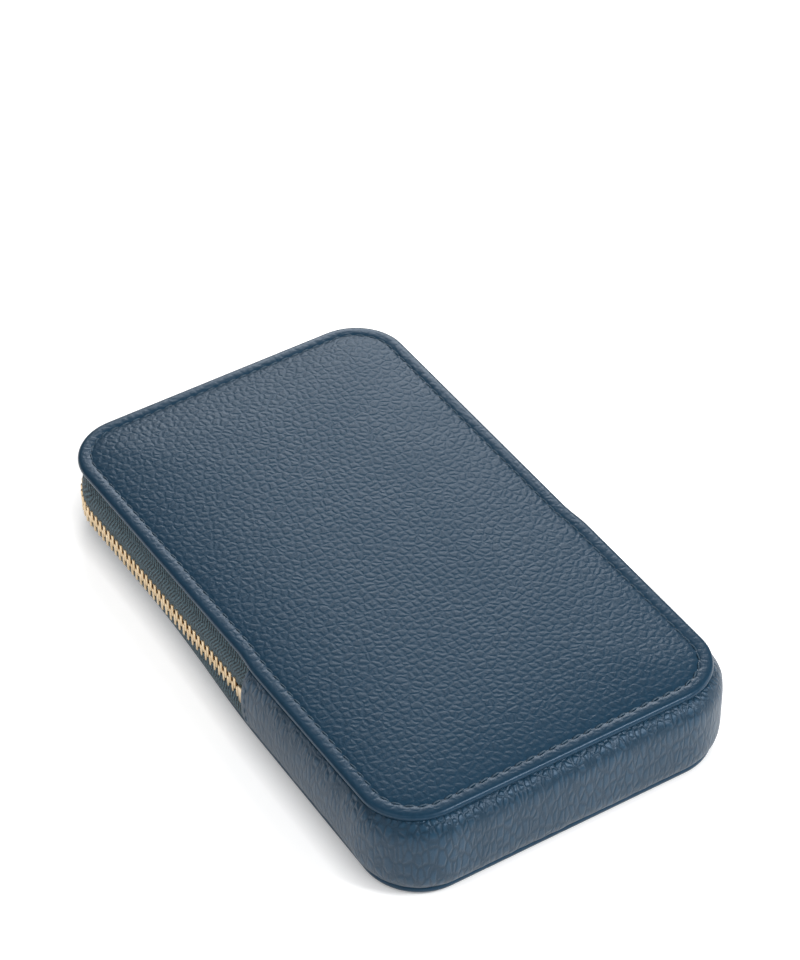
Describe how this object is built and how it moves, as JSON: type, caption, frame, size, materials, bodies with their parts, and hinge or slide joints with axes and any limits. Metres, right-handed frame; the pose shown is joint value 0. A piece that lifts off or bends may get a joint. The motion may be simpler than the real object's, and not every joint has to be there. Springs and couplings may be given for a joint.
{
  "type": "phone pouch",
  "caption": "Flat padded leather pouch for a phone, with a gusset round its base and a metal zip round its other end, so that the upper front folds open.",
  "frame": {"origin": "middle of the flat of the back, on the surface that the pouch lies on", "axes": "+X across the pouch to the slider's side, +Y from the base to the zip end, +Z out of the front"},
  "size_m": [0.1132, 0.1848, 0.0292],
  "materials": {
    "leather": "pebbled, satin",
    "padding": "soft foam",
    "board": "matte pulp board",
    "lining": "fine weave",
    "tape": "twill weave",
    "brass": "pale polished"
  },
  "bodies": {
    "pouch_body": {"back_leather": "leather", "front_leather_lower": "leather", "gusset_leather": "leather", "back_padding": "padding", "front_padding_lower": "padding", "back_board": "board", "front_board_lower": "board", "gusset_stiffener": "board", "back_lining": "lining", "front_lining_lower": "lining", "gusset_lining": "lining", "zip_tape_back": "tape", "zip_teeth_back": "brass", "zip_bottom_stop": "brass", "zip_top_stop_back": "brass", "zip_top_stop_front": "brass"},
    "front_flap": {"front_leather_upper": "leather", "front_padding_upper": "padding", "front_board_upper": "board", "front_lining_upper": "lining", "zip_tape_front": "tape", "zip_teeth_front": "brass"},
    "zip_slider": {"slider_body": "brass", "slider_bridge": "brass"},
    "zip_pull": {"pull_tab": "brass"}
  },
  "joints": [
    {"name": "front_fold", "type": "hinge", "parent": "pouch_body", "child": "front_flap", "pos_m": [0, -0.01195, 0.02678], "axis": [1, 0, 0], "range_deg": [0, 40], "deforming": ["zip_tape_front", "zip_teeth_front", "zip_teeth_back"]},
    {"name": "slider_run", "type": "slide", "parent": "pouch_body", "child": "zip_slider", "axis": [0, 0.9994, -0.0355], "range_m": [0, 0.07], "deforming": ["zip_teeth_front", "zip_teeth_back"]},
    {"name": "pull_swing", "type": "hinge", "parent": "zip_slider", "child": "zip_pull", "pos_m": [0.0561, -0.0078, 0.01178], "axis": [0, 0.0355, 0.9994], "range_deg": [0, 170]}
  ]
}
